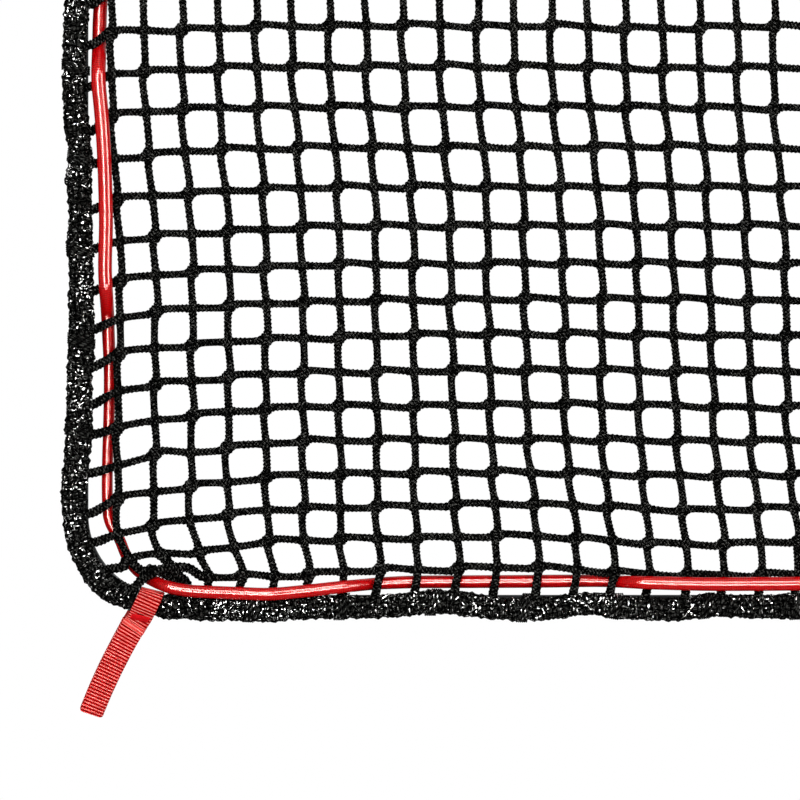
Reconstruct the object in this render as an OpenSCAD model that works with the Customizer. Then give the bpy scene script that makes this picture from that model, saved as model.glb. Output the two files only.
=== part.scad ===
// Pitch back rebounder: a square net in a round-cornered steel ring that tilts
// between two folding leg frames. Millimetres, +Z up, net facing -Y.
// The origin is on the floor, below the middle of the base.

/* [Net panel] */
// Distance between the centre lines of opposite ring sides
ring_size = 1200; // [1000:20:1300]
// Corner radius at the centre line of the ring and of the border rope
corner_r = 75; // [70:1:90]
// Outer diameter of the ring tube
ring_od = 16; // [15:1:18]
// Diameter of the border rope
rope_d = 22; // [20:1:24]
// Thickness of a net strand
strand_d = 6; // [4:0.2:6.4]
// Distance from the rope's centre line to the outermost strand
net_inset = 30; // [29.5:0.5:34]
// Number of strands each way (one in two to three of the real net)
strands = 16; // [8:2:16]

/* [Shock cord and tabs] */
// Diameter of the elastic cord
shock_d = 10.5; // [8:0.5:10.5]
// Distance from the rope's centre line to the elastic cord's
shock_inset = 20.5; // [19.5:0.5:21]
// Width of the tab webbing
tab_w = 20; // [15:1:25]
// Length of the tab's tail below its stitching
tab_len = 86; // [60:1:120]
// How far round the corner bend the tab sits, from the bottom run
tab_place = 13.7; // [8:0.1:20]
// Lean of the hanging tail from the vertical
tab_lean = 28; // [14:1:35]

/* [Stand] */
// Height of the pivot bolts above the floor
pivot_h = 950; // [900:10:1100]
// Distance from the middle to each floor tube, front to back
stand_half_depth = 430; // [350:10:500]
// Outer diameter of the leg tubes
leg_od = 25; // [24:0.5:26]
// Wall thickness of all tubes
wall = 1.5; // [1.2:0.1:2]
// Bend radius of the leg elbows
leg_bend_r = 60; // [50:5:70]
// Free gap between the border rope and the front legs
side_gap = 66.5; // [60:0.5:90]

/* [Hardware] */
// Diameter of the pivot bolts
bolt_d = 8; // [8:1:10]
// Diameter of the clamp knobs
knob_d = 50; // [44:1:56]
// Height of the clamp knobs
knob_h = 24; // [20:1:28]

/* [Hidden] */
$fn = 48;

steel_black = "#1b1c1e";
rubber_black = "#232323";
zinc = "#b9bcc0";
cord_red = "#c8201f";
net_black = "#131313";

eps = 1;                 // how far cutting tools run past a face
fit = 0.05;              // radial play of a plugged or turning fit
slide_gap = 0.1;         // play between two faces that turn on each other

ring_half = ring_size / 2;
ring_r = ring_od / 2;
rope_r = rope_d / 2;
rope_y = -(ring_r + rope_r + 0.2);   // the rope lies right in front of the ring
ring_stub = 8;           // straight end of a ring elbow
ring_spigot = 40;        // its plugged length
ring_screw_at = 27;      // screw distance from the straight tube's end
ring_straight = ring_half - corner_r - ring_stub;

leg_r = leg_od / 2;
foot_h = 18;             // height of a floor tube's centre line
foot_len = 50;
foot_d = 33;
foot_sole_w = 28;
front_foot_x = 530;
rear_foot_x = 600;
leg_rise = pivot_h - foot_h;
leg_angle = atan2(stand_half_depth, leg_rise);
leg_len = sqrt(pow(leg_rise, 2) + pow(stand_half_depth, 2));
leg_top = 28;            // tube left above the pivot
leg_stub = 15;
leg_spigot = 38;
leg_screw_at = 20;
leg_straight = leg_len - leg_bend_r - leg_stub;

// Stack on each pivot bolt, as distances from the middle of the stand outwards
front_x = ring_half + rope_r + side_gap + leg_r;   // centre line of a front leg
saddle_t = 3.5;          // saddle thickness at the tube's crest
front_flat_in = front_x - leg_r - saddle_t - 4.4;
friction_t = 2.5;
flange_t = 3;
friction_x = front_flat_in - slide_gap - friction_t;
flange_x = friction_x - flange_t;
front_flat_out = front_x + leg_r + saddle_t;
plate_t = 2.5;
rear_flat_in = front_flat_out + plate_t + slide_gap;
rear_x = rear_flat_in + saddle_t + 0.4 + leg_r;    // centre line of a rear leg
rear_flat_out = rear_x + leg_r + saddle_t;
washer_t = 2;
washer_x = rear_flat_out + slide_gap;
knob_x = washer_x + washer_t + slide_gap;
ring_flat_in = ring_half - ring_r - 4;
ring_flat_out = ring_half + ring_r + 4;
saddle_d = 24;
ring_saddle_d = 16;
bolt_end = knob_x + knob_h - 6;
bolt_head_w = 13;
bolt_head_h = 5.3;

// Net grid
net_half = ring_half - net_inset;
strand_pitch = 2 * net_half / (strands - 1);
net_bite = 0.6;          // how far the strand ends reach into the rope
net_edge = ring_half - rope_r + net_bite;
net_edge_r = corner_r - rope_r + net_bite;

// Lashings sit in the middle of every net opening along the straight runs
lash_w = 6;
lash_t = 2.4;
lash_gap = 0.15;
wrap_steps = 14;         // facets round the rope's side of a wrap
lash_last = 6;

// Shock cord: it changes sides of the net at these places, in order round the
// panel, seen from the front and going anticlockwise from the bottom left
shock_side = strand_d / 2 + shock_d / 2 + 0.15;
cross_bottom = [-510, -5 * strand_pitch, -2 * strand_pitch, strand_pitch, 4 * strand_pitch, 510];
cross_right = [-5 * strand_pitch, -2 * strand_pitch, strand_pitch, 4 * strand_pitch, 510];
cross_top = [-510, -4 * strand_pitch, -2 * strand_pitch, 2 * strand_pitch, 4 * strand_pitch, 510];
cross_left = [-510, -4 * strand_pitch, -strand_pitch, 2 * strand_pitch, 5 * strand_pitch];
cross_run = 12;          // half the length of a crossing
cord_sides = 12;
corner_steps = 5;
ferrule_len = 20;

// Tab webbing
web_t = 1.6;
tab_gap = 1;
neck_h = 3.5;
tab_neck_low = rope_r + tab_gap + web_t + neck_h;
tab_axis_low = tab_neck_low + web_t + 0.2;

// ---------- shared shapes ----------

// A round bar along +X from u0 to u1
module bar_x(u0, u1, d) {
    translate([u0, 0, 0]) rotate([0, 90, 0]) cylinder(h = u1 - u0, d = d);
}

// A tube along +Z from z0 to z1
module pipe_z(z0, z1, od, id) {
    difference() {
        translate([0, 0, z0]) cylinder(h = z1 - z0, d = od);
        translate([0, 0, z0 - eps]) cylinder(h = z1 - z0 + 2 * eps, d = id);
    }
}

// Right-hand pieces as drawn (s = 1), left-hand pieces mirrored (s = -1)
module side(s) {
    if (s > 0) children();
    else mirror([1, 0, 0]) children();
}

module in_panel() {
    translate([0, 0, pivot_h]) children();
}

// Each leg frame is drawn hanging straight down from the pivot, then leaned
module in_front() {
    translate([0, 0, pivot_h]) rotate([-leg_angle, 0, 0]) children();
}

module in_rear() {
    translate([0, 0, pivot_h]) rotate([leg_angle, 0, 0]) mirror([0, 1, 0]) children();
}

// Elbow in the XZ plane for a lower right-hand corner: bend centre at the origin,
// one end rising from [r, 0, 0], the other leaving towards -X from [0, 0, -r]
module elbow(r, od, stub, spigot, screw_at, screw_d) {
    tube_in = od - 2 * wall;
    plug_d = tube_in - 2 * fit;
    bore_d = plug_d - 2 * wall;
    full = stub + spigot;
    difference() {
        union() {
            rotate([-90, 0, 0]) rotate_extrude(angle = 90) translate([r, 0]) circle(d = od);
            translate([r, 0, 0]) cylinder(h = stub, d = od);
            translate([r, 0, 0]) cylinder(h = full, d = plug_d);
            translate([0, 0, -r]) rotate([0, -90, 0]) cylinder(h = stub, d = od);
            translate([0, 0, -r]) rotate([0, -90, 0]) cylinder(h = full, d = plug_d);
        }
        rotate([-90, 0, 0]) rotate_extrude(angle = 90) translate([r, 0]) circle(d = bore_d);
        translate([r, 0, 0]) cylinder(h = full + eps, d = bore_d);
        translate([0, 0, -r]) rotate([0, -90, 0]) cylinder(h = full + eps, d = bore_d);
        translate([r, 0, stub + screw_at]) rotate([90, 0, 0]) cylinder(h = od, d = screw_d);
        translate([-stub - screw_at, 0, -r]) rotate([90, 0, 0]) cylinder(h = od, d = screw_d);
    }
}

// Button-head screw entering along +Y, its head seated on y = -seat
module screw_y(seat, d, len) {
    head_d = 1.8 * d;
    head_h = 0.5 * d;
    translate([0, -seat, 0]) rotate([-90, 0, 0]) {
        cylinder(h = len, d = d);
        translate([0, 0, -head_h]) difference() {
            cylinder(h = head_h, d1 = 0.7 * head_d, d2 = head_d, $fn = 48);
            translate([0, 0, -eps]) cylinder(h = eps + 0.6 * head_h, d = 0.6 * d, $fn = 6);
        }
    }
}

// Moulded spacer between a round tube along Z and a flat face
module saddle(flat_u, tube_u, tube_od, d) {
    difference() {
        bar_x(min(flat_u, tube_u), max(flat_u, tube_u), d);
        translate([tube_u, 0, -d]) cylinder(h = 2 * d, d = tube_od);
        bar_x(min(flat_u, tube_u) - eps, max(flat_u, tube_u) + eps, bolt_d + 2 * fit);
    }
}

// Outline round the rope and the ring together, seen along the border:
// 2D x is the panel's front-to-back direction, 2D y points into the panel
function arc(at, r, from, to, steps) = [for (k = [0 : steps]) let (w = from + (to - from) * k / steps)
    at + r * [cos(w), sin(w)]];

module both_outline(gap) {
    big = rope_r + gap;
    small = ring_r + gap;
    meet = acos((big - small) / -rope_y);
    polygon(concat(arc([rope_y, 0], big, meet, 360 - meet, wrap_steps),
                   arc([0, 0], small, -meet, meet, wrap_steps - 4)));
}

module wrap(gap, t, w) {
    rotate([90, 0, 90]) translate([0, 0, -w / 2]) linear_extrude(w) difference() {
        both_outline(gap + t);
        both_outline(gap);
    }
}

// Square with round corners, by its half width
module round_square(half, r) {
    square([2 * (half - r), 2 * half], center = true);
    square([2 * half, 2 * (half - r)], center = true);
    for (x = [-1, 1], y = [-1, 1]) translate([x * (half - r), y * (half - r)]) circle(r = r);
}

// ---------- stand ----------

module leg(x, stop_hole) {
    color(steel_black) difference() {
        translate([x, 0, 0]) pipe_z(-leg_straight, leg_top, leg_od, leg_od - 2 * wall);
        bar_x(x - leg_od, x + leg_od, bolt_d + 0.16);
        translate([x, 0, -leg_straight + leg_screw_at]) rotate([90, 0, 0])
            cylinder(h = leg_od, d = 6.2);
        if (stop_hole) translate([0, 0, -stop_screw_low]) bar_x(x, x + leg_od, 5.2);
    }
}

module leg_elbow(x) {
    color(steel_black) translate([x - leg_bend_r, 0, -leg_len + leg_bend_r])
        elbow(leg_bend_r, leg_od, leg_stub, leg_spigot, leg_screw_at, 6.2);
}

module cross_tube(x) {
    half = x - leg_bend_r - leg_stub;
    color(steel_black) translate([0, 0, -leg_len]) difference() {
        bar_x(-half, half, leg_od);
        bar_x(-half - eps, half + eps, leg_od - 2 * wall);
        for (s = [-1, 1]) translate([s * (half - leg_screw_at), 0, 0]) rotate([90, 0, 0])
            cylinder(h = leg_od, d = 6.2);
    }
}

module frame_screws(x) {
    color(zinc) for (s = [-1, 1]) {
        translate([s * x, 0, -leg_straight + leg_screw_at]) screw_y(leg_r, 6, 7);
        translate([s * (x - leg_bend_r - leg_stub - leg_screw_at), 0, -leg_len])
            screw_y(leg_r, 6, 7);
    }
}

// Plastic end cap: a ribbed plug under a low dome
module leg_cap(x) {
    plug_d = leg_od - 2 * wall - 2 * fit;
    dome_h = 6;
    color(rubber_black) translate([x, 0, leg_top]) {
        translate([0, 0, -12]) cylinder(h = 12, d = plug_d - 1);
        for (z = [-10, -6, -2]) translate([0, 0, z - 0.6]) cylinder(h = 1.2, d = plug_d);
        intersection() {
            cylinder(h = dome_h, d = leg_od);
            translate([0, 0, dome_h - 22]) sphere(r = 22, $fn = 96);
        }
    }
}

// Rubber foot: a sleeve on the floor tube with a flat sole
module foot(x, y) {
    color(rubber_black) translate([x - foot_len / 2, y, foot_h]) difference() {
        union() {
            bar_x(0, foot_len, foot_d);
            translate([0, -foot_sole_w / 2, -foot_h]) cube([foot_len, foot_sole_w, foot_h]);
        }
        bar_x(-eps, foot_len + eps, leg_od);
        for (g = [0.25, 0.5, 0.75]) translate([g * foot_len - 1.5, -foot_sole_w, -foot_h - eps])
            cube([3, 2 * foot_sole_w, eps + 1.5]);
    }
}

module front_saddles() {
    color(rubber_black) {
        saddle(front_flat_in, front_x, leg_od, saddle_d);
        saddle(front_flat_out, front_x, leg_od, saddle_d);
        translate([0, 0, -stop_screw_low]) saddle(front_flat_out, front_x, leg_od, 14);
    }
}

module rear_saddles() {
    color(rubber_black) {
        saddle(rear_flat_in, rear_x, leg_od, saddle_d);
        saddle(rear_flat_out, rear_x, leg_od, saddle_d);
    }
}

// Stop plate: bolted to the front leg, its pin catches the opened rear leg
stop_screw_low = 48;
stop_pin_d = 10;
stop_reach = 48;
rear_turn = 2 * leg_angle;
stop_pin_off = leg_r + stop_pin_d / 2 + 0.15;
stop_pin_r = sqrt(pow(stop_reach, 2) + pow(stop_pin_off, 2));
stop_pin_turn = rear_turn + atan2(stop_pin_off, stop_reach);

module stop_plate() {
    pin_y = stop_pin_r * sin(stop_pin_turn);
    pin_z = -stop_pin_r * cos(stop_pin_turn);
    arm_w = 20;
    color(steel_black) difference() {
        union() {
            translate([front_flat_out, 0, 0]) rotate([90, 0, 90]) linear_extrude(plate_t) {
                circle(d = 34);
                translate([0, -stop_screw_low]) circle(d = 18);
                translate([-9, -stop_screw_low]) square([18, stop_screw_low]);
                translate([pin_y, pin_z]) circle(d = arm_w);
                rotate(stop_pin_turn - 90) translate([0, -arm_w / 2]) square([stop_pin_r, arm_w]);
            }
            translate([0, pin_y, pin_z]) bar_x(front_flat_out, rear_x + leg_r, stop_pin_d);
        }
        bar_x(front_flat_out - eps, front_flat_out + plate_t + eps, bolt_d + 2 * fit);
        translate([0, 0, -stop_screw_low])
            bar_x(front_flat_out - eps, front_flat_out + plate_t + eps, 5.2);
    }
}

module stop_screw() {
    color(zinc) translate([front_flat_out + plate_t, 0, -stop_screw_low]) rotate([0, 0, 90])
        screw_y(0, 5, saddle_t + plate_t + 2 * wall);
}

// ---------- net panel ----------

// Straight ring tube along Z at the ring's right side
module ring_tube() {
    difference() {
        pipe_z(-ring_straight, ring_straight, ring_od, ring_od - 2 * wall);
        for (s = [-1, 1]) translate([0, 0, s * (ring_straight - ring_screw_at)])
            rotate([-90, 0, 0]) cylinder(h = ring_od, d = 5.2);
    }
}

module ring_side_tube(s) {
    color(steel_black) in_panel() translate([s * ring_half, 0, 0]) difference() {
        ring_tube();
        bar_x(-ring_od, ring_od, bolt_d + 2 * fit);
    }
}

module ring_level_tube(s) {
    color(steel_black) in_panel() translate([0, 0, s * ring_half]) rotate([0, 90, 0]) ring_tube();
}

module ring_elbow(sx, sz) {
    at = ring_half - corner_r;
    color(steel_black) in_panel() side(sx) mirror([0, 0, sz > 0 ? 1 : 0])
        translate([at, 0, -at]) mirror([0, 1, 0])
            elbow(corner_r, ring_od, ring_stub, ring_spigot, ring_screw_at, 5.2);
}

module ring_screws() {
    along = ring_straight - ring_screw_at;
    color(zinc) in_panel() mirror([0, 1, 0]) for (a = [-1, 1], b = [-1, 1]) {
        translate([a * ring_half, 0, b * along]) screw_y(ring_r, 5, 6);
        translate([a * along, 0, b * ring_half]) screw_y(ring_r, 5, 6);
    }
}

module pivot_bolt() {
    color(zinc) {
        bar_x(ring_flat_in, bolt_end, bolt_d);
        translate([ring_flat_in - bolt_head_h, 0, 0]) rotate([0, 90, 0])
            cylinder(h = bolt_head_h, d = bolt_head_w / cos(30), $fn = 6);
    }
}

module ring_saddles() {
    color(rubber_black) {
        saddle(ring_flat_in, ring_half, ring_od, ring_saddle_d);
        saddle(ring_flat_out, ring_half, ring_od, ring_saddle_d);
    }
}

module washer(u, t, od) {
    difference() {
        bar_x(u, u + t, od);
        bar_x(u - eps, u + t + eps, bolt_d + 2 * fit);
    }
}

module net() {
    color(net_black) in_panel() translate([0, rope_y, 0]) rotate([90, 0, 0])
        linear_extrude(strand_d, center = true) intersection() {
            round_square(net_edge, net_edge_r);
            for (i = [0 : strands - 1]) {
                at = -net_half + i * strand_pitch;
                translate([at, 0]) square([strand_d, 2 * ring_half], center = true);
                translate([0, at]) square([2 * ring_half, strand_d], center = true);
            }
        }
}

module border_rope() {
    at = ring_half - corner_r;
    color(net_black) in_panel() translate([0, rope_y, 0]) {
        for (a = [0, 90, 180, 270]) rotate([0, a, 0]) {
            translate([ring_half, 0, -at]) cylinder(h = 2 * at, d = rope_d);
            translate([at, 0, -at]) rotate([-90, 0, 0]) rotate_extrude(angle = 90)
                translate([corner_r, 0]) circle(d = rope_d);
        }
    }
}

module lashings() {
    color(net_black) in_panel() for (a = [0, 90, 180, 270], i = [-lash_last : lash_last]) {
        clear_of_pivot = (a == 0 || a == 180) || i != 0;
        if (clear_of_pivot) rotate([0, a, 0]) translate([i * strand_pitch, 0, -ring_half])
            wrap(lash_gap, lash_t, lash_w);
    }
}

// Points of the cord's centre line along one straight side, from -X to +X:
// [along, side of the net], where side runs from 1 (in front) to -1 (behind)
function crossing(at, from) = [for (k = [-1, -0.4, 0.4, 1])
    [at + k * cross_run, -from * (abs(k) < 1 ? k * 1.1 : k)]];
function side_run(list, from) = [for (i = [0 : len(list) - 1])
    for (p = crossing(list[i], i % 2 == 0 ? from : -from)) p];
function side_end(list, from) = len(list) % 2 == 0 ? from : -from;

// One side and the corner after it, turned into place by angle a
function turned(p, a) = [p[0] * cos(a) - p[2] * sin(a), p[1], p[0] * sin(a) + p[2] * cos(a)];
function side_points(list, from, a, half, r) = concat(
    [for (p = side_run(list, from)) turned([p[0], -p[1] * shock_side, -half], a)],
    [for (k = [0 : corner_steps]) let (t = 90 * k / corner_steps) turned([
        half - r + r * sin(t), -side_end(list, from) * shock_side, -half + r - r * cos(t)], a)]);

function cord_route() = let (
        half = ring_half - shock_inset,
        r = corner_r - shock_inset,
        right_from = side_end(cross_bottom, -1),
        top_from = side_end(cross_right, right_from),
        left_from = side_end(cross_top, top_from))
    concat(side_points(cross_bottom, -1, 0, half, r),
           side_points(cross_right, right_from, 90, half, r),
           side_points(cross_top, top_from, 180, half, r),
           side_points(cross_left, left_from, 270, half, r));

function unit(v) = v / norm(v);

// Closed round cord along a list of points
module closed_cord(route, d) {
    n = len(route);
    points = [for (i = [0 : n - 1])
        let (t = unit(route[(i + 1) % n] - route[(i + n - 1) % n]),
             a = unit([0, 1, 0] - t[1] * t),
             b = cross(t, a))
        for (j = [0 : cord_sides - 1]) let (w = 360 * j / cord_sides)
            route[i] + d / 2 * (a * cos(w) + b * sin(w))];
    faces = [for (i = [0 : n - 1], j = [0 : cord_sides - 1])
        let (p = i * cord_sides,
             q = ((i + 1) % n) * cord_sides,
             k = (j + 1) % cord_sides)
        for (f = [[p + j, p + k, q + k], [p + j, q + k, q + j]]) f];
    polyhedron(points = points, faces = faces, convexity = 6);
}

module shock_cord() {
    color(cord_red) in_panel() translate([0, rope_y, 0]) closed_cord(cord_route(), shock_d);
}

// Pressed sleeve that joins the ends of the cord at the top, crimped twice
module cord_ferrule() {
    at = ring_half - shock_inset;
    side_y = shock_side * -side_end(cross_right, side_end(cross_bottom, -1));
    sleeve_d = shock_d + 3;
    groove_r = 1.6;
    color(steel_black) in_panel() translate([0, rope_y - side_y, at]) difference() {
        bar_x(-ferrule_len / 2, ferrule_len / 2, sleeve_d);
        bar_x(-ferrule_len, ferrule_len, shock_d + 0.2);
        for (u = [-0.25, 0.25]) translate([u * ferrule_len, 0, 0]) rotate([0, 90, 0])
            rotate_extrude() translate([sleeve_d / 2 + 0.8, 0]) circle(r = groove_r);
    }
}

// Places a tab piece on the bend at the lower right-hand corner, its own Z pointing
// into the panel across the border
module at_tab() {
    at = ring_half - corner_r;
    in_panel() translate([at, 0, -at]) rotate([0, -tab_place, 0]) translate([0, 0, -corner_r])
        children();
}

module tab_loop() {
    color(cord_red) at_tab() {
        wrap(tab_gap, web_t, tab_w);
        translate([-tab_w / 2, rope_y - web_t, -tab_neck_low])
            cube([tab_w, 2 * web_t, neck_h + web_t / 2]);
    }
}

module tab_tail() {
    more_lean = tab_lean - tab_place;
    end_mid = tab_len * [sin(more_lean), -cos(more_lean)];
    end_side = tab_w / 2 * [cos(more_lean), sin(more_lean)];
    color(cord_red) at_tab() translate([0, rope_y, -tab_axis_low]) {
        bar_x(-tab_w / 2, tab_w / 2, 2 * web_t);
        rotate([90, 0, 0]) linear_extrude(2 * web_t, center = true)
            polygon([[-tab_w / 2, 0], [tab_w / 2, 0], end_mid + end_side, end_mid - end_side]);
    }
}

// ---------- knobs ----------

insert_d = 14;
insert_h = 14;

// Six-lobed knob with a waisted hub, drawn along +Z from its bearing face
module knob() {
    lobe_r = 7.5;
    lobe_at = knob_d / 2 - lobe_r;
    hub_h = 8;
    color(rubber_black) translate([knob_x, 0, 0]) rotate([0, 90, 0]) difference() {
        union() {
            cylinder(h = hub_h + eps, d1 = 24, d2 = 28, $fn = 48);
            translate([0, 0, hub_h]) intersection() {
                linear_extrude(knob_h - hub_h) difference() {
                    union() {
                        circle(r = lobe_at + 2);
                        for (a = [0 : 60 : 300]) rotate(a) translate([lobe_at, 0]) circle(r = lobe_r);
                    }
                    for (a = [30 : 60 : 330]) rotate(a) translate([knob_d / 2 + 1.5, 0]) circle(r = 7);
                }
                translate([0, 0, knob_h - hub_h - 40]) sphere(r = 40, $fn = 96);
            }
        }
        translate([0, 0, -eps]) cylinder(h = insert_h + eps, d = insert_d);
        translate([0, 0, -eps]) cylinder(h = knob_h - 4 + eps, d = bolt_d + 1);
    }
}

module knob_insert() {
    color("#b08d57") difference() {
        bar_x(knob_x, knob_x + insert_h, insert_d);
        bar_x(knob_x - eps, knob_x + insert_h + eps, bolt_d + 2 * fit);
    }
}

in_front() side(-1) leg(front_x, true);  // front_leg_left
in_front() side(1) leg(front_x, true);  // front_leg_right
in_front() side(-1) leg_elbow(front_x);  // front_elbow_left
in_front() side(1) leg_elbow(front_x);  // front_elbow_right
in_front() cross_tube(front_x);  // front_cross_tube
foot(-front_foot_x, -stand_half_depth);  // front_foot_left
foot(front_foot_x, -stand_half_depth);  // front_foot_right
in_front() side(-1) front_saddles();  // front_saddles_left
in_front() side(1) front_saddles();  // front_saddles_right
in_front() side(-1) stop_plate();  // stop_plate_left
in_front() side(1) stop_plate();  // stop_plate_right
in_front() for (s = [-1, 1]) side(s) leg_cap(front_x);  // front_leg_caps
in_front() {  // front_frame_screws
    frame_screws(front_x);
    for (s = [-1, 1]) side(s) stop_screw();
}
in_rear() side(-1) leg(rear_x, false);  // rear_leg_left
in_rear() side(1) leg(rear_x, false);  // rear_leg_right
in_rear() side(-1) leg_elbow(rear_x);  // rear_elbow_left
in_rear() side(1) leg_elbow(rear_x);  // rear_elbow_right
in_rear() cross_tube(rear_x);  // rear_cross_tube
foot(-rear_foot_x, stand_half_depth);  // rear_foot_left
foot(rear_foot_x, stand_half_depth);  // rear_foot_right
in_rear() side(-1) rear_saddles();  // rear_saddles_left
in_rear() side(1) rear_saddles();  // rear_saddles_right
in_rear() for (s = [-1, 1]) side(s) leg_cap(rear_x);  // rear_leg_caps
in_rear() frame_screws(rear_x);  // rear_frame_screws
ring_side_tube(-1);  // ring_left_tube
ring_side_tube(1);  // ring_right_tube
ring_level_tube(1);  // ring_top_tube
ring_level_tube(-1);  // ring_bottom_tube
ring_elbow(-1, -1);  // ring_elbow_bottom_left
ring_elbow(1, -1);  // ring_elbow_bottom_right
ring_elbow(-1, 1);  // ring_elbow_top_left
ring_elbow(1, 1);  // ring_elbow_top_right
ring_screws();
in_panel() side(-1) pivot_bolt();  // pivot_bolt_left
in_panel() side(1) pivot_bolt();  // pivot_bolt_right
in_panel() side(-1) ring_saddles();  // ring_saddles_left
in_panel() side(1) ring_saddles();  // ring_saddles_right
color(steel_black) in_panel() side(-1)  // spacer_tube_left
    washer(ring_flat_out, flange_x - ring_flat_out, ring_saddle_d);
color(steel_black) in_panel() side(1)  // spacer_tube_right
    washer(ring_flat_out, flange_x - ring_flat_out, ring_saddle_d);
color(zinc) in_panel() side(-1)  // flange_washer_left
    washer(flange_x, flange_t, 32);
color(zinc) in_panel() side(1)  // flange_washer_right
    washer(flange_x, flange_t, 32);
color(rubber_black) in_panel() side(-1)  // friction_washer_left
    washer(friction_x, friction_t, 30);
color(rubber_black) in_panel() side(1)  // friction_washer_right
    washer(friction_x, friction_t, 30);
color(zinc) in_panel() for (s = [-1, 1]) side(s)  // knob_washers
    washer(washer_x, washer_t, 24);
net();
border_rope();
lashings();
shock_cord();
cord_ferrule();
side(-1) tab_loop();  // tab_loop_left
side(1) tab_loop();  // tab_loop_right
side(-1) tab_tail();  // tab_tail_left
side(1) tab_tail();  // tab_tail_right
in_panel() side(-1) knob();  // knob_left
in_panel() side(1) knob();  // knob_right
in_panel() side(-1) knob_insert();  // knob_insert_left
in_panel() side(1) knob_insert();  // knob_insert_right
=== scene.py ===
import math
import bpy
import numpy as np
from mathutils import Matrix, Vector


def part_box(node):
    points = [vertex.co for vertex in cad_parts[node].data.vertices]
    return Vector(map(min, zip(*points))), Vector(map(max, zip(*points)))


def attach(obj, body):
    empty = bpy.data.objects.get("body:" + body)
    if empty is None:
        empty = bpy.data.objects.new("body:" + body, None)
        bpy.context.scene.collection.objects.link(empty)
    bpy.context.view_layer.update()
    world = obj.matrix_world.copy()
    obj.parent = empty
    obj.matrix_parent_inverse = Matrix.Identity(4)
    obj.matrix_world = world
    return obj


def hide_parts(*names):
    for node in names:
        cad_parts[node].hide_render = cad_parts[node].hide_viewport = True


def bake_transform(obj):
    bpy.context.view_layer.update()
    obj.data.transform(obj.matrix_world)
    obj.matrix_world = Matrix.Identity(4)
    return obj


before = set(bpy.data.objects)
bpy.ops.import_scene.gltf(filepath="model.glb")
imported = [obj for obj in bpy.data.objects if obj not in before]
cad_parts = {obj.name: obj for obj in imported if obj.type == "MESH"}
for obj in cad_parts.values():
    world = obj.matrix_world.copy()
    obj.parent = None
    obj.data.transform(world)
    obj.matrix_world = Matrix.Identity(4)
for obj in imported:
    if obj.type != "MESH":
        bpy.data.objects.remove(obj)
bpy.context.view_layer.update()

# ---- Studio ----
# A long lens stands straight in front of the panel's lower left corner. A pale disc of floor fades
# into the white room. Soft lamps stand in front on both sides, above and behind, and four wide
# panels show in glossy surfaces only.
panel_low, panel_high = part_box("border_rope")
panel_mid = (panel_low + panel_high) / 2
rope_r = (panel_high.y - panel_low.y) / 2
panel_half = (panel_high.x - panel_low.x) / 2 - rope_r

mm = 0.001
shown_width = 666.7 * mm
lens_distance = 9.0
sensor_width = 36.0
shown_x = -331.8 * mm
shown_low = 429.3 * mm

camera_data = bpy.data.cameras.new("camera")
camera_data.sensor_width = sensor_width
camera_data.lens = sensor_width * lens_distance / shown_width
camera_data.clip_end = 100
camera = bpy.data.objects.new("camera", camera_data)
camera.location = (shown_x, panel_mid.y - lens_distance, panel_mid.z - shown_low)
camera.rotation_euler = (math.pi / 2, 0, 0)
bpy.context.scene.collection.objects.link(camera)
bpy.context.scene.camera = camera
bpy.context.scene.view_settings.view_transform = "Standard"


corner_aim = (shown_x, panel_mid.y, panel_mid.z - shown_low)


def lamp(name, place, wide, tall, watts, aim=corner_aim, gloss_only=False):
    """Soft box at place, facing aim. A gloss-only one shows in glossy surfaces and lights nothing else."""
    data = bpy.data.lights.new(name, "AREA")
    data.shape = "RECTANGLE"
    data.size = wide
    data.size_y = tall
    data.energy = watts
    soft_box = bpy.data.objects.new(name, data)
    soft_box.location = place
    x, y, z = np.array(aim) - np.array(place)
    soft_box.rotation_euler = (math.pi / 2 + math.atan2(z, math.hypot(x, y)), 0, math.atan2(-x, y))
    soft_box.visible_camera = False
    soft_box.visible_diffuse = not gloss_only
    bpy.context.scene.collection.objects.link(soft_box)


lamp("left_lamp", (-2.47, -2.64, 0.92), 0.7, 0.7, 42)
lamp("right_lamp", (1.81, -2.64, 0.92), 0.7, 0.7, 42)
lamp("front_lamp", (-0.33, -3.1, 1.85), 0.6, 0.6, 36)
lamp("back_lamp", (1.2, 3.4, 2.6), 1.2, 1.2, 50, (0, 0, panel_mid.z))
lamp("top_lamp", (-0.2, -1.0, 4.0), 1.4, 1.4, 24, (0, 0, panel_mid.z))
lamp("left_panel", (-1.35, -2.9, 0.6), 1.1, 2.2, 960, gloss_only=True)
lamp("right_panel", (2.35, -1.7, 0.6), 1.3, 2.2, 640, gloss_only=True)
lamp("high_panel", (-0.33, -2.6, 2.1), 2.6, 0.9, 520, gloss_only=True)
lamp("low_panel", (-0.33, -1.0, 0.12), 1.3, 0.3, 120, gloss_only=True)


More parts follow.
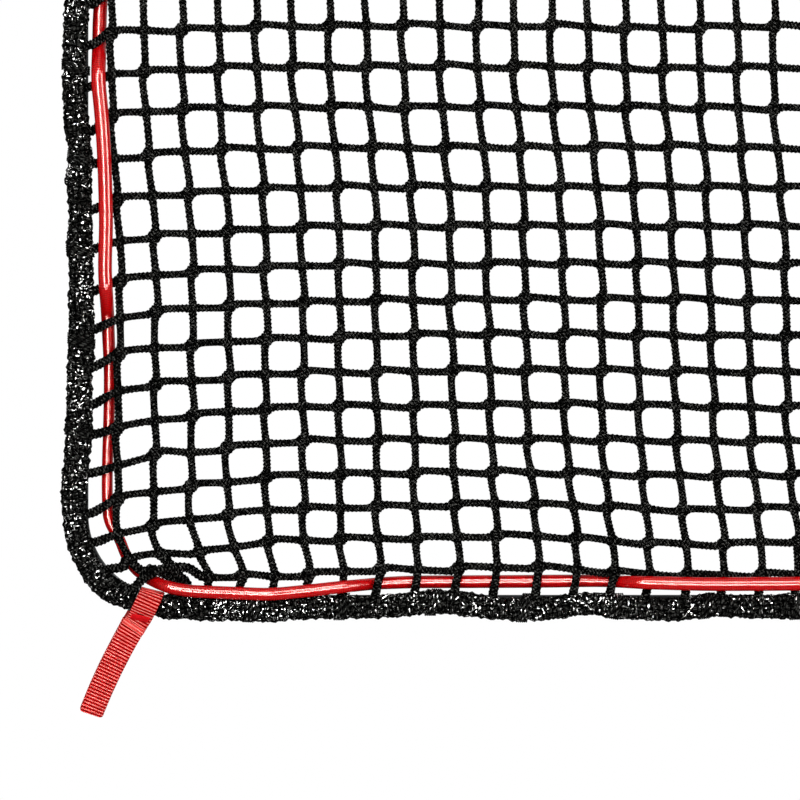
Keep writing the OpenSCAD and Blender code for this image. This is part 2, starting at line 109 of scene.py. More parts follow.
class Nodes:
    """Short hand for building one node tree."""

    def __init__(self, tree):
        self.tree = tree

    def add(self, kind, **values):
        node = self.tree.nodes.new("ShaderNode" + kind)
        for name, value in values.items():
            setattr(node, name, value)
        return node

    def link(self, source, target):
        self.tree.links.new(source, target)

    def feed(self, socket, value):
        if isinstance(value, bpy.types.NodeSocket):
            self.link(value, socket)
        else:
            socket.default_value = value

    def fill(self, sockets, **values):
        """Feeds the sockets of these names, which have _ for a space."""
        for title, value in values.items():
            self.feed(sockets[title.replace("_", " ")], value)

    def fill_in_turn(self, kind, *inputs, **values):
        """A new node with its first sockets fed, and its first output."""
        node = self.add(kind, **values)
        for socket, value in zip(node.inputs, inputs):
            self.feed(socket, value)
        return node.outputs[0]

    def math(self, operation, first, second=0.0, third=0.0):
        return self.fill_in_turn("Math", first, second, third, operation=operation)

    def mix(self, factor, low, high):
        node = self.add("Mix", data_type="RGBA")
        self.feed(node.inputs[0], factor)
        self.feed(node.inputs[6], low)
        self.feed(node.inputs[7], high)
        return node.outputs[2]

    def times(self, first, second):
        return self.math("MULTIPLY", first, second)

    def spread(self, value, low, high, to_low=0, to_high=1, **values):
        return self.fill_in_turn("MapRange", value, low, high, to_low, to_high, **values)

    def noise(self, vector, scale, detail, rough=0.5, **values):
        node = self.add("TexNoise", **values)
        self.fill(node.inputs, Vector=vector, Scale=scale, Detail=detail, Roughness=rough)
        return node.outputs["Fac"]

    def lay(self):
        """The Lay map, and apart its metres along and its place across."""
        place = self.add("UVMap", uv_map="Lay").outputs[0]
        parts = self.add("SeparateXYZ")
        self.feed(parts.inputs[0], place)
        return place, parts.outputs[0], parts.outputs[1]


def new_material(name, **plain):
    """Material, its nodes and the sockets of its Principled shader, with plain values on them."""
    material = bpy.data.materials.new(name)
    material.use_nodes = True
    nodes = Nodes(material.node_tree)
    shader = material.node_tree.nodes["Principled BSDF"].inputs
    nodes.fill(shader, **plain)
    return material, nodes, shader


room_light = 0.32


def light_white(nodes, strength):
    """Plain white for the rays that show the room itself, camera, mirror and glass rays, else dimmer."""
    path = nodes.add("LightPath")
    mirror = nodes.math("MAXIMUM", path.outputs["Is Glossy Ray"], path.outputs["Is Transmission Ray"])
    shown = nodes.math("MAXIMUM", path.outputs["Is Camera Ray"], mirror)
    nodes.link(nodes.spread(shown, 0, 1, room_light, 1), strength)


room = bpy.data.worlds.new("white_room")
room.use_nodes = True
bpy.context.scene.world = room
background = room.node_tree.nodes["Background"]
background.inputs["Color"].default_value = (1, 1, 1, 1)
light_white(Nodes(room.node_tree), background.inputs["Strength"])

turn = 2 * math.pi
floor_radius = 3.0
floor_rings = 24
floor_spokes = 96
floor_low = -0.5 * mm
fade_from = 0.9
fade_to = 2.7
floor_verts = [(0, 0, floor_low)]
for k in range(floor_rings * floor_spokes):
    angle = turn * (k % floor_spokes) / floor_spokes
    reach = floor_radius * (k // floor_spokes + 1) / floor_rings
    floor_verts.append((reach * math.cos(angle), reach * math.sin(angle), floor_low))
floor_faces = []
for k in range(1, len(floor_verts)):
    after = k + 1 if k % floor_spokes else k + 1 - floor_spokes
    inner = [0] if k <= floor_spokes else [after - floor_spokes, k - floor_spokes]
    floor_faces.append([*inner, k, after])
floor_mesh = bpy.data.meshes.new("floor")
floor_mesh.from_pydata(floor_verts, [], floor_faces)
floor = bpy.data.objects.new("floor", floor_mesh)
bpy.context.scene.collection.objects.link(floor)

floor_paint, floor_nodes, _ = new_material(
    "pale_floor", Base_Color=(0.86, 0.86, 0.86, 1), Roughness=0.9, Specular_IOR_Level=0.0
)
floor_span = floor_nodes.add("VectorMath", operation="LENGTH")
floor_nodes.link(floor_nodes.add("TexCoord").outputs["Object"], floor_span.inputs[0])
far_out = floor_nodes.spread(
    floor_span.outputs["Value"], fade_from, fade_to, interpolation_type="SMOOTHSTEP"
)
painted = floor_paint.node_tree.nodes["Principled BSDF"].outputs[0]
white_room = floor_nodes.add("Emission")
light_white(floor_nodes, white_room.inputs["Strength"])
floor_fade = floor_nodes.fill_in_turn("MixShader", far_out, painted, white_room.outputs[0])
floor_nodes.link(floor_fade, floor_paint.node_tree.nodes["Material Output"].inputs["Surface"])
floor_mesh.materials.append(floor_paint)


# ---- Leg frames and ring ----
# Round mild steel tubes, bent and plugged together, then powder coated black. The coat is satin,
# with the fine orange peel of baked powder, and it is rubbed a little where the tubes are handled.
def new_group(name, inputs, outputs):
    """Shader node group with inputs {name: default}: the group, its nodes, and what goes in and out."""
    group = bpy.data.node_groups.new(name, "ShaderNodeTree")
    kind = "NodeSocketFloat"
    for title, default in inputs.items():
        socket = group.interface.new_socket(name=title, in_out="INPUT", socket_type=kind)
        socket.default_value = default
    for title in outputs:
        group.interface.new_socket(name=title, in_out="OUTPUT", socket_type=kind)
    given = group.nodes.new("NodeGroupInput").outputs
    return group, Nodes(group), given, group.nodes.new("NodeGroupOutput").inputs


def grain_group():
    """Fine grain and cloudy rubbing on a solid part, in object space."""
    group, nodes, given, result = new_group(
        "grain", {"Grain Size": 1500.0, "Cloud Edge": 0.55}, ("Height", "Cloud", "Speck")
    )
    place = nodes.add("TexCoord").outputs["Object"]
    cloud = nodes.noise(place, 9, 6, 0.62)
    speck = nodes.add("TexVoronoi")
    nodes.fill(speck.inputs, Vector=place, Scale=nodes.times(given["Grain Size"], 0.25))
    nodes.fill(
        result,
        Height=nodes.noise(place, given["Grain Size"], 3),
        Cloud=nodes.spread(cloud, given["Cloud Edge"], nodes.math("ADD", given["Cloud Edge"], 0.16)),
        Speck=nodes.spread(speck.outputs["Distance"], 0.0, 0.12, 1, 0),
    )
    return group


grain = grain_group()


def placed(nodes, group, **values):
    """One use of a shared group, with its own values."""
    node = nodes.tree.nodes.new("ShaderNodeGroup")
    node.node_tree = group
    nodes.fill(node.inputs, **values)
    return node.outputs


def relief(nodes, shader, height, depth):
    """Height of a Bump node, in metres of depth, into the shader's normal."""
    bump = nodes.add("Bump")
    nodes.fill(bump.inputs, Distance=depth, Height=height)
    nodes.link(bump.outputs[0], shader["Normal"])


def solid_finish(name, colour, worn_colour, rough, worn_rough, depth, grain_size, cloud_edge=0.56, **plain):
    """Finish of a solid part: its colour and roughness, those where it is rubbed, and its grain."""
    material, nodes, shader = new_material(name, **plain)
    look = placed(nodes, grain, Grain_Size=grain_size, Cloud_Edge=cloud_edge)
    rubbed = nodes.mix(look["Cloud"], (*colour, 1), (*worn_colour, 1))
    dusty = nodes.mix(nodes.times(look["Speck"], 0.35), rubbed, (*worn_colour, 1))
    nodes.fill(shader, Base_Color=dusty, Roughness=nodes.spread(look["Cloud"], 0, 1, rough, worn_rough))
    relief(nodes, shader, look["Height"], depth)
    return material


def dress(material, *names):
    """Puts a material on every slot of these nodes."""
    for name in names:
        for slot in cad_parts[name].material_slots:
            slot.material = material


def both(*names):
    return [f"{name}_{hand}" for name in names for hand in ("left", "right")]


powder_coat = solid_finish(
    "powder_coat", (0.010, 0.011, 0.012), (0.022, 0.023, 0.025), 0.42, 0.54, 0.00006, 900,
    Specular_IOR_Level=0.05,
)
dress(powder_coat, *both("front_leg", "front_elbow", "rear_leg", "rear_elbow", "stop_plate"))
dress(powder_coat, *both("spacer_tube", "ring_elbow_bottom", "ring_elbow_top"))
dress(powder_coat, "front_cross_tube", "rear_cross_tube")
dress(powder_coat, "ring_left_tube", "ring_right_tube", "ring_top_tube", "ring_bottom_tube")


# ---- Feet and end caps ----
# Moulded rubber sleeves on the floor tubes and ribbed plugs in the leg tops. The rubber is matt
# black with a fine spark-eroded grain, and greyed by dust.
rubber = solid_finish(
    "rubber", (0.014, 0.014, 0.014), (0.036, 0.035, 0.033), 0.72, 0.88, 0.00009, 1400, 0.52,
    Specular_IOR_Level=0.04,
)
dress(rubber, *both("front_foot", "rear_foot"), "front_leg_caps", "rear_leg_caps")


# ---- Saddles and friction washers ----
# Injection moulded nylon, black, that seats the round tubes on flat faces. The friction washers
# are hard fibre.
nylon = solid_finish(
    "nylon", (0.014, 0.014, 0.015), (0.026, 0.026, 0.027), 0.42, 0.58, 0.00004, 1800, 0.58,
    Specular_IOR_Level=0.06,
)
dress(nylon, *both("front_saddles", "rear_saddles", "ring_saddles", "friction_washer"))


# ---- Bolts, screws and washers ----
# Zinc plated steel: a bluish bright metal with soft cloudy passivation and fine turning marks.
zinc = solid_finish(
    "zinc", (0.62, 0.64, 0.66), (0.50, 0.50, 0.48), 0.26, 0.42, 0.00003, 1600, 0.50, Metallic=1.0
)
dress(zinc, "front_frame_screws", "rear_frame_screws", "ring_screws", "knob_washers")
dress(zinc, *both("pivot_bolt", "flange_washer"))


# ---- Border rope ----
# The net's selvage: netting twine plaited round a dead core, twelve twines in two directions, and
# whipped with a thin shiny thread that runs over and under the plait in both directions.
corner_r = 75 * mm
corner_at = panel_half - corner_r
bend = corner_r * math.pi / 2
side_length = bend + 2 * corner_at
border_length = 4 * side_length


def border(s):
    """Place and outward direction on the border's centre line, as (x, z) from the panel's middle.

    s runs clockwise, seen from the front, from the middle of the lower left corner.
    """
    s = np.asarray(s, float)
    side = np.floor(s / side_length)
    along = s - side * side_length
    first = along < bend / 2
    second = along > side_length - bend / 2
    first_angle = 1.25 * math.pi - along / corner_r
    second_angle = math.pi - (along - side_length + bend / 2) / corner_r
    angle = np.select([first, second], [first_angle, second_angle], math.pi)
    height = np.select([first, second], [-corner_at, corner_at], along - bend / 2 - corner_at)
    sine = np.where(first | second, np.sin(angle), 0)
    c = np.cos(-side * math.pi / 2)
    d = np.sin(-side * math.pi / 2)

    def on_side(x, z):
        return np.stack([x * c - z * d, x * d + z * c], -1)

    place = on_side(-corner_at + corner_r * np.cos(angle), height + corner_r * sine)
    return place, on_side(np.cos(angle), sine)


def up_left(z):
    """s of a place on the left side, by its height from the panel's middle in mm."""
    return bend / 2 + corner_at + z * mm


def along_low(x):
    """s of a place on the bottom side, by its distance from the panel's middle in mm."""
    return border_length - (bend / 2 + corner_at + x * mm)


soft_step = 4 * mm


def smoothed(values, window, pad_mode, **how):
    """Values under a moving window, carried on past both ends in one of NumPy's ways."""
    padded = np.pad(values, len(window) // 2, pad_mode, **how)
    return np.convolve(padded, window / window.sum(), "valid")


def eased(left, low, corner, rest, spread):
    """Smooth closed curve along the border, as a function of s, from points given in mm.

    Left has them by height, low by distance along the bottom and corner by s. Rest fills the other
    sides with chance values: from that height, to that distance, step, lowest and highest.
    """
    start, stop, step, lowest, highest = rest
    points = [(up_left(z), value * mm) for z, value in left]
    points += [(along_low(x), value * mm) for x, value in low]
    points += [(s * mm, value * mm) for s, value in corner]
    for s in np.arange(up_left(start), along_low(stop), step * mm):
        points.append((s, chance.uniform(lowest, highest) * mm))
    points = sorted((s % border_length, value) for s, value in points)
    grid = np.arange(0, border_length, soft_step)
    values = np.interp(grid, *zip(*points), period=border_length)
    smooth = smoothed(values, np.hanning(2 * int(spread / soft_step) + 3), "wrap")
    return lambda s: np.interp(np.mod(s, border_length), grid, smooth, period=border_length)


chance = np.random.default_rng(7)

# How far the rope lies in (+) or out (-) of its line, as the lashings pull it, and its radius
left_sway = [(-130, -3), (-167, -3.7), (-190, -2), (-205, -1.1), (-214, 1.5), (-222, 2.4), (-237, 1),
             (-248, 0), (-259, 1.3), (-280, 2.2), (-304, 1.3), (-320, 3), (-345, 2.5), (-370, 3),
             (-426, 1), (-463, 0.4), (-508, -4), (-538, -2)]
low_sway = [(-520, -1), (-486, -3), (-445, -4), (-400, -2), (-355, -2), (-332, 0), (-306, 3),
            (-277, 1), (-250, -3), (-236, -4), (-207, -3), (-174, 2), (-141, -3), (-101, -4),
            (-74, 0), (-30, -2)]
left_girth = [(-130, 9.6), (-167, 9.1), (-190, 9.8), (-205, 11.4), (-218, 9.3), (-237, 11), (-248, 11.8),
              (-259, 10.1), (-272, 9.1), (-290, 10.6), (-304, 11.8), (-322, 9.7), (-345, 11.2),
              (-370, 10.4), (-395, 11.6), (-420, 10), (-450, 12), (-480, 11.2), (-508, 10.8),
              (-540, 10.2)]
low_girth = [(-510, 10.6), (-486, 10.4), (-460, 9.6), (-440, 10.6), (-410, 9), (-380, 9.8), (-355, 8.9),
             (-330, 10), (-300, 9.8), (-275, 10.3), (-250, 9), (-215, 10.2), (-180, 8.9), (-150, 10),
             (-120, 9), (-85, 10), (-50, 9), (-30, 9.6)]
corner_sway = [(39, -2.6), (26, -2.8), (16, -3.6), (6, -4.6), (-4, -4.4), (-16, -4.6), (-28, -2.5),
               (-41, -1.5)]
corner_girth = [(39, 9.8), (26, 10.2), (16, 9.2), (6, 9.2), (-4, 9.6), (-16, 8.6), (-28, 8), (-41, 8),
                (-50, 8.6), (-60, 11)]
sway = eased(left_sway, low_sway, corner_sway, (-90, 30, 46, -3.6, 2.6), 12 * mm)
girth = eased(left_girth, low_girth, corner_girth, (-100, 0, 24, 9.0, 11.8), 8 * mm)


def facing_front(count):
    return np.tile([0.0, -1.0, 0.0], (count, 1))


def beside(place, outward, away, y):
    """3D points that lie so far outward of places on the border's line, at their own y."""
    return np.stack([
        place[:, 0] + outward[:, 0] * away,
        y,
        place[:, 1] + outward[:, 1] * away + panel_mid.z,
    ], -1)


def rope_line(s):
    """Centre line of the rope in 3D, with its outward and forward directions."""
    place, outward = border(s)
    centre = beside(place, outward, -sway(s), np.full(len(s), panel_mid.y))
    out = np.stack([outward[:, 0], np.zeros(len(s)), outward[:, 1]], -1)
    return centre, out, facing_front(len(s))


def unit(v):
    return v / np.linalg.norm(v, axis=-1, keepdims=True)


def square_to(way, ahead):
    """The direction nearest to way that is square to ahead."""
    return unit(way - (way * ahead).sum(-1, keepdims=True) * ahead)


def run_length(steps):
    return np.concatenate([[0], np.cumsum(steps)])


def distance_along(line):
    return run_length(np.linalg.norm(np.diff(line, axis=0), axis=1))


def smooth_noise(count, knots, size):
    """Closed random curve of count values, with so many knots, seeded."""
    heights = chance.uniform(-size, size, knots)
    at = np.linspace(0, knots, count, endpoint=False)
    low = np.floor(at).astype(int)
    blend = (1 - np.cos(math.pi * (at - low))) / 2
    return heights[low % knots] * (1 - blend) + heights[(low + 1) % knots] * blend


class Skin:
    """Gathers swept strips into one mesh with a Lay map: metres along, and turns or metres across."""

    def __init__(self):
        self.verts = []
        self.corners = []
        self.sizes = []
        self.lay = []
        self.count = 0

    def tube(self, route, out, radius, sides, closed=False, start=0.0, pace=None):
        """One tube along route; out is where its first side faces, pace the mapped metres per ring."""
        route = np.asarray(route, float)
        rings = len(route)
        if closed:
            ahead = unit(np.roll(route, -1, 0) - np.roll(route, 1, 0))
        else:
            ahead = unit(np.gradient(route, axis=0))
        out = square_to(out, ahead)
        across = np.cross(ahead, out)
        angle = turn * np.arange(sides) / sides
        if np.ndim(radius) < 2:
            radius = np.asarray(radius, float).reshape(-1, 1)
        radius = np.broadcast_to(radius, (rings, sides))
        ring = (out[:, None] * np.cos(angle)[None, :, None]
                + across[:, None] * np.sin(angle)[None, :, None])
        steps = np.linalg.norm(np.roll(route, -1, 0) - route, axis=1)
        if pace is not None:
            steps = np.full(rings, pace)
        around = np.broadcast_to(np.arange(sides + 1) / sides, (rings + 1, sides + 1))
        verts = route[:, None] + ring * radius[..., None]
        self.strip(verts, start + run_length(steps), around, closed, cap_around=0.5)

    def strip(self, verts, length, around, closed=False, cap_around=None):
        """Faces over rings of verts, mapped by length and around; an open one gets a cap at each end."""
        rings, sides = verts.shape[:2]
        bands = rings if closed else rings - 1
        low = np.repeat(np.arange(bands), sides)
        side = np.tile(np.arange(sides), bands)
        high = (low + 1) % rings
        after = (side + 1) % sides
        faces = np.stack([low * sides + side, low * sides + after,
                          high * sides + after, high * sides + side], -1)
        rounds = ((low, side), (low, side + 1), (low + 1, side + 1), (low + 1, side))
        self.verts.append(verts.reshape(-1, 3))
        self.corners.append((faces + self.count).ravel())
        self.sizes.append(np.full(len(faces), 4))
        lay = np.stack([np.stack([length[a], around[a, b]], -1) for a, b in rounds], 1)
        self.lay.append(lay.reshape(-1, 2))
        caps = () if closed else ((0, -1), (rings - 1, 1))
        for at, order in caps:
            side = np.arange(sides)[::order]
            place = around[at, side] if cap_around is None else np.full(sides, cap_around)
            self.corners.append(self.count + at * sides + side)
            self.sizes.append(np.array([sides]))
            self.lay.append(np.stack([np.full(sides, length[at]), place], -1))
        self.count += rings * sides

    def piece(self, name, material):
        """Makes the object, with the one material."""
        corners = np.concatenate(self.corners)
        sizes = np.concatenate(self.sizes)
        mesh = bpy.data.meshes.new(name)
        mesh.vertices.add(self.count)
        mesh.vertices.foreach_set("co", np.concatenate(self.verts).ravel())
        mesh.loops.add(len(corners))
        mesh.loops.foreach_set("vertex_index", corners.astype(np.int32))
        mesh.polygons.add(len(sizes))
        mesh.polygons.foreach_set("loop_start", run_length(sizes)[:-1].astype(np.int32))
        mesh.polygons.foreach_set("use_smooth", np.ones(len(sizes), bool))
        mesh.uv_layers.new(name="Lay")
        mesh.uv_layers["Lay"].uv.foreach_set("vector", np.concatenate(self.lay).ravel())
        mesh.update(calc_edges=True)
        mesh.validate()
        mesh.materials.append(material)
        made = bpy.data.objects.new(name, mesh)
        bpy.context.scene.collection.objects.link(made)
        return made


def plait_group():
    """Plaited yarns on a round cord: two families of fibrous strands, over and under each other."""
    group, nodes, given, result = new_group(
        "plait",
        {"Pitch": 0.004, "Yarns": 3.0, "Fibre": 0.3, "Streaks": 2.5, "Groove Low": 0.25,
         "Groove High": 0.85, "Glint Edge": 2.0},
        ("Height", "Groove", "Fleck", "Glint"),
    )
    _, metres, turns = nodes.lay()
    along = nodes.math("DIVIDE", metres, given["Pitch"])
    around = nodes.times(turns, given["Yarns"])
    first = nodes.math("ADD", along, around)
    second = nodes.math("SUBTRACT", along, around)
    low_sum = nodes.math("ADD", nodes.math("FLOOR", first), nodes.math("FLOOR", second))
    over = nodes.math("PINGPONG", low_sum, 1.0)
    under = nodes.math("SUBTRACT", 1.0, over)

    def crown(place):
        return nodes.math("SINE", nodes.times(nodes.math("FRACT", place), math.pi))

    def long_crown(own, other):
        return nodes.times(own, nodes.math("MULTIPLY_ADD", other, 0.45, 0.55))

    def streaks(across, onward):
        """Fibres that run along one family's strands."""
        fine = nodes.times(across, given["Streaks"])
        stretched = nodes.fill_in_turn("CombineXYZ", fine, nodes.times(onward, 0.6))
        return nodes.noise(stretched, 1.0, 2, noise_dimensions="2D")

    def woven(of_first, of_second):
        """The value of the family that lies on top."""
        return nodes.math("ADD", nodes.times(of_first, over), nodes.times(of_second, under))

    crown_first = crown(first)
    crown_second = crown(second)
    height = woven(long_crown(crown_first, crown_second), long_crown(crown_second, crown_first))
    fibre = woven(streaks(first, second), streaks(second, first))
    rough = nodes.times(nodes.math("SUBTRACT", fibre, 0.5), given["Fibre"])
    # The hollows between the strands, which the finishes darken as painted shade.
    groove = nodes.spread(height, given["Groove Low"], given["Groove High"], 1, 0)
    crest = nodes.math("SUBTRACT", 1.0, groove)
    # Sparse clustered spots on the crowns, which the finishes paint as pale metal flecks: painted glints of
    # glossy fibres.
    cluster = nodes.noise(nodes.add("TexCoord").outputs["Object"], 60, 2)
    gathered = nodes.math("MULTIPLY_ADD", cluster, 0.35, fibre)
    glint = nodes.spread(gathered, given["Glint Edge"], nodes.math("ADD", given["Glint Edge"], 0.05))
    # The fibre streaks on the crowns are painted lighter by the finishes, a painted sheen.
    nodes.fill(
        result,
        Height=nodes.math("ADD", height, rough),
        Groove=groove,
        Fleck=nodes.times(nodes.spread(fibre, 0.48, 0.62), crest),
        Glint=nodes.times(glint, nodes.spread(crest, 0.1, 0.5)),
    )
    return group


plait = plait_group()


def cord_finish(name, groove_shade, light, sheen_grey, rough, depth, **lay):
    """Finish of a plaited black cord: the grey of its crowns, painted shade in its grooves, a painted sheen
    on its fibres, painted glints, and its lay.
    """
    material, nodes, shader = new_material(name, Specular_IOR_Level=0.0)
    look = placed(nodes, plait, **lay)
    # Painted shade: the darker grey in the grooves stands for shade between the strands.
    shade = nodes.mix(look["Groove"], (light, light, 0.93 * light, 1), (groove_shade, groove_shade, groove_shade, 1))
    # Painted sheen: lighter grey fibre streaks on the crowns.
    shade = nodes.mix(look["Fleck"], shade, (sheen_grey, sheen_grey, 0.93 * sheen_grey, 1))
    # Painted glints: pale metal flecks at the glint spots, bright in every light.
    shade = nodes.mix(look["Glint"], shade, (0.50, 0.50, 0.49, 1))
    gloss = nodes.spread(look["Glint"], 0, 1, rough, 0.3)
    nodes.fill(shader, Base_Color=shade, Metallic=look["Glint"], Roughness=gloss)
    relief(nodes, shader, look["Height"], depth)
    return material


rope_finish = cord_finish(
    "plaited_rope", 0.0001, 0.005, 0.058, 0.6, 0.0009, Pitch=0.0050, Yarns=2, Fibre=0.6, Streaks=3.6,
    Groove_Low=0.3, Groove_High=0.85, Glint_Edge=0.848,
)
# The thread's shine is painted glints; it has no gloss of its own.
thread_finish = cord_finish(
    "shiny_thread", 0.0002, 0.006, 0.05, 0.5, 0.0002, Pitch=0.011, Yarns=1, Fibre=0.3, Streaks=1.2,
    Groove_Low=0.2, Groove_High=0.7, Glint_Edge=0.77,
)

yarns_each_way = 6
yarn_r = 2.45 * mm
yarn_sides = 8
yarn_at = 0.74
yarn_wave = 0.12
turns_round = 90
yarn_step = 2.0 * mm
new_yarn = 7.3
core_share = 0.7
core_sides = 12
# Slow random waves along the border, as (knots, size): of a yarn's angle, height and thickness
yarn_drift = (260, 0.26)
yarn_heave = (380, 0.7 * mm)
yarn_plump = (400, 0.14)

s_rings = np.arange(0, border_length, yarn_step)
s_rings = np.linspace(0, border_length, len(s_rings), endpoint=False)
rings_round = len(s_rings)
centre, out, front = rope_line(s_rings)


def wound(skin, angle, lift, radius, sides, start):
    """One yarn round the rope, at an angle and height over its centre line."""
    radial = out * np.cos(angle)[:, None] + front * np.sin(angle)[:, None]
    skin.tube(centre + radial * lift[:, None], radial, radius, sides, closed=True, start=start)


rope = Skin()
rope.tube(centre, out, girth(s_rings) * core_share, core_sides, closed=True)
for way in (1, -1):
    for k in range(yarns_each_way):
        phase = turn * turns_round * s_rings / border_length
        wobble = smooth_noise(rings_round, *yarn_drift)
        angle = way * phase + turn * k / yarns_each_way + wobble
        wave = way * np.cos(yarns_each_way * phase)
        lift = girth(s_rings) * (yarn_at + yarn_wave * wave) + smooth_noise(rings_round, *yarn_heave)
        plump = yarn_r * (1 + smooth_noise(rings_round, *yarn_plump))
        wound(rope, angle, lift, plump, yarn_sides, new_yarn * (2 * k + way))
border_rope = rope.piece("plaited_border_rope", rope_finish)

thread = Skin()
thread_r = 0.6 * mm
thread_sides = 6
thread_at = 0.88
thread_turns = (101, -83, 142, -118)
thread_drift = (330, 0.6)
thread_heave = (560, 1.5 * mm)
for k, turns in enumerate(thread_turns):
    phase = turn * turns * s_rings / border_length
    angle = phase + turn * k / len(thread_turns) + smooth_noise(rings_round, *thread_drift)
    lift = girth(s_rings) * thread_at + smooth_noise(rings_round, *thread_heave)
    wound(thread, angle, lift, thread_r, thread_sides, new_yarn * k)
whipping = thread.piece("whipping_thread", thread_finish)
for part in (border_rope, whipping):
    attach(part, "net_panel")
    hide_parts("border_rope")


# ---- Netting ----
# Knotless netting of braided black twine, 38 twines each way. At each crossing the two braids run
# through each other, so the crossings are thick and the sides of the meshes jog to and fro.
twine_count = 38
twine_r = 3.2 * mm
twine_inset = 30 * mm
net_half = panel_half - twine_inset
mesh_size = 2 * net_half / (twine_count - 1)
rings_per_mesh = 18
twine_sides = 10

sag_low = 22 * mm
loose = 0.55 * mm
# The net drops beside the upright ropes: how far, how far in, and up to what share of its height;
# on the right it drops a share of that
edge_drop = 30 * mm
edge_fade = 83 * mm
drop_high = 0.35
right_share = 0.6
right_high = 0.5
low_right_drop = 7 * mm
low_left_lift = 2.6 * mm
# Its lowest rows are gathered to the corners, bulge between them, and are pinched in at the edge
corner_gather = 16 * mm
gather_rows = 0.9
gather_columns = 5
right_gather = -0.8
low_bulge = 17 * mm
low_pinch = 4 * mm
upright_lean = 1.9 * mm
level_lean = 2.0 * mm
# By how many meshes up, in mm: the uprights' sideways lean, what the first has more, and how far the
# net is drawn up beside the rope
lean_points = [(0, 2.5), (9, 3.3), (10.5, 2), (12.5, -3), (14.5, -6), (18, -5), (24, 0), (30, 2), (37, 0)]
first_points = [(5, 0), (7.5, 3), (10.5, 3), (12.5, 0)]
lift_points = [(9, 0), (10, 1), (11, 2.2), (12, 3.4), (13, 5.6), (16, 5.6), (20, 0)]
lift_reach = 14

grid = np.arange(twine_count, dtype=float)
node_i, node_j = np.meshgrid(grid, grid, indexing="ij")


def node_noise():
    """Loose random shift of every crossing, each a little like its neighbours'."""
    own = chance.normal(0, loose, (twine_count + 2, twine_count + 2))
    near = own[:-2, 1:-1] + own[2:, 1:-1] + own[1:-1, :-2] + own[1:-1, 2:]
    return (own[1:-1, 1:-1] + 0.5 * near) / 1.4


def by_height(points):
    return np.interp(node_j, *zip(*points)) * mm


def fading(distance, reach):
    return np.exp(-distance / reach)


def bell(value):
    return np.exp(-(value**2))


def ramp(value, low, high):
    t = np.clip((value - low) / (high - low), 0, 1)
    return t * t * (3 - 2 * t)


last = twine_count - 1
from_left = node_i
from_right = last - node_i
up = node_j / last
drop_rise = (1 - fading(node_j, 1)) * (1 - fading(last - node_j, 1))
fade = edge_fade / mesh_size
drop_left = edge_drop * fading(up, drop_high) * drop_rise * fading(from_left, fade)
drop_right = right_share * edge_drop * fading(up, right_high) * drop_rise * fading(from_right, fade)
low_right = low_right_drop * fading(node_j, 4) * ramp(node_i, 10, 15) * ramp(from_right, 0, 8)
lift_left = by_height(lift_points) * fading(from_left, lift_reach)
lift_low = low_left_lift * fading(node_j, 0.5) * ramp(node_i, 9, 14)
shift_z = -sag_low * np.sin(turn * up) - drop_left - drop_right - low_right + lift_left + lift_low
shift_z += node_noise()

low_rows = fading(node_j, gather_rows)
gather_left = corner_gather * low_rows * bell(from_left / gather_columns)
gather_right = right_gather * corner_gather * low_rows * bell(from_right / gather_columns)
bulge = low_bulge * fading(node_j, 3) * ramp(node_i, 6, 12) * ramp(from_right, 2, 14)
bulge -= low_pinch * fading(node_j, 0.5) * ramp(node_i, 7, 10) * ramp(from_right, 2, 14)
sides_held = ramp(np.minimum(from_left + 1, from_right + 1), 0, 2)
shift_x = (by_height(lean_points) + bulge) * sides_held + gather_left + gather_right + node_noise()

node_x = -net_half + mesh_size * node_i + shift_x
node_z = -net_half + mesh_size * node_j + shift_z
node_x[0] += by_height(first_points)[0]
node_y = 0.5 * mm * np.where((node_i + node_j) % 2 == 0, 1, -1)

# The crossings at the lower left corner, which the gathered twines pull together, in mm from the
# panel's middle: one row for each upright from the left, each from the lowest crossing up
corner_places = np.array([
    [(-538, -576), (-557, -563), (-567, -541), (-567, -512), (-567, -484)],
    [(-519, -570), (-532, -557), (-538, -534), (-537, -506), (-536, -474)],
    [(-491, -577), (-499, -556), (-507, -529), (-506, -501), (-506, -473)],
    [(-464, -576), (-470, -552), (-475, -525), (-476, -498), (-476, -469)],
]) * mm
uprights, rows = corner_places.shape[:2]
node_x[:uprights, :rows] = corner_places[..., 0]
node_z[:uprights, :rows] = corner_places[..., 1]
# The next uprights fall a little at the bottom
next_falls = np.array([6, 4, 2]) * mm
node_z[uprights:uprights + len(next_falls), 0] -= next_falls


def through(points, per_span):
    """Smooth line through points, with per_span steps between two of them (Catmull-Rom)."""
    points = np.asarray(points, float)
    padded = np.concatenate([[2 * points[0] - points[1]], points, [2 * points[-1] - points[-2]]])
    steps = np.arange(per_span) / per_span
    t = steps[None, :, None]
    a, b, c, d = (padded[k:len(padded) - 3 + k, None, :] for k in range(4))
    square = 2 * a - 5 * b + 4 * c - d
    cube = 3 * b - a - 3 * c + d
    curve = 0.5 * (2 * b + (c - a) * t + square * t**2 + cube * t**3)
    return np.concatenate([curve.reshape(-1, points.shape[1]), points[-1:]])


end_reach = 26 * mm
end_slope = 0.36
end_wide = 0.26
# The braid's bumps, of two families of yarns, as shares of the twine's radius
braid_base = 0.98
braid_bump = 0.12
braid_period = 3.3 * mm
second_share = 0.7
second_shift = 1.3
# A crossing's swelling, and how much more or less of it its filled and its free corners have
crossing_wide = 0.98
crossing_thick = 0.16
crossing_half = 4.2 * mm
crossing_loose = 0.10
fill_mean = 0.35
fill_more = 0.65
fill_reach = 0.35
fill_turn = 0.8 * mm
square_twist = 0.2


def into_rope(x, z):
    """The point on the border's centre line nearest to a place, for the end of a twine."""
    if abs(x) < corner_at or abs(z) < corner_at:
        far = max(abs(x), abs(z)) / panel_half
        return x / far, z / far
    mid_x = math.copysign(corner_at, x)
    mid_z = math.copysign(corner_at, z)
    far = math.hypot(x - mid_x, z - mid_z) / corner_r
    return mid_x + (x - mid_x) / far, mid_z + (z - mid_z) / far


